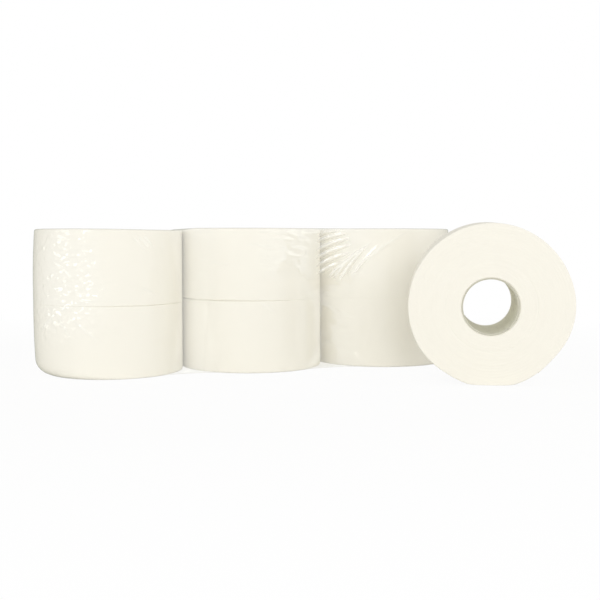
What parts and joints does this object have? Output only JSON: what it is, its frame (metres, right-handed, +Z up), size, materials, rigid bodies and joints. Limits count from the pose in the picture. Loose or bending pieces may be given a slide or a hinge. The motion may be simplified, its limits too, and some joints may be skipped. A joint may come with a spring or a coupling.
{
  "type": "toilet paper roll pack",
  "caption": "Pack of large white toilet rolls stacked upright in clear shrink film, with one more loose roll standing on its rim in front.",
  "frame": {"origin": "middle of the pack's flat base, on the surface that it stands on", "axes": "+Z up, +X along the row of stacks to the right, -Y out of the pack's front, where the loose roll stands"},
  "size_m": [0.5889, 0.3914, 0.1794],
  "materials": {
    "tissue": "matte",
    "card": "matte",
    "film": "gloss"
  },
  "bodies": {
    "root": {"film_wrap": "film", "tissue_left_lower": "tissue", "tissue_left_upper": "tissue", "tissue_middle_lower": "tissue", "tissue_middle_upper": "tissue", "tissue_right_lower": "tissue", "tissue_right_upper": "tissue", "tissue_loose": "tissue", "core_left_lower": "card", "core_left_upper": "card", "core_middle_lower": "card", "core_middle_upper": "card", "core_right_lower": "card", "core_right_upper": "card", "core_loose": "card"}
  },
  "joints": []
}
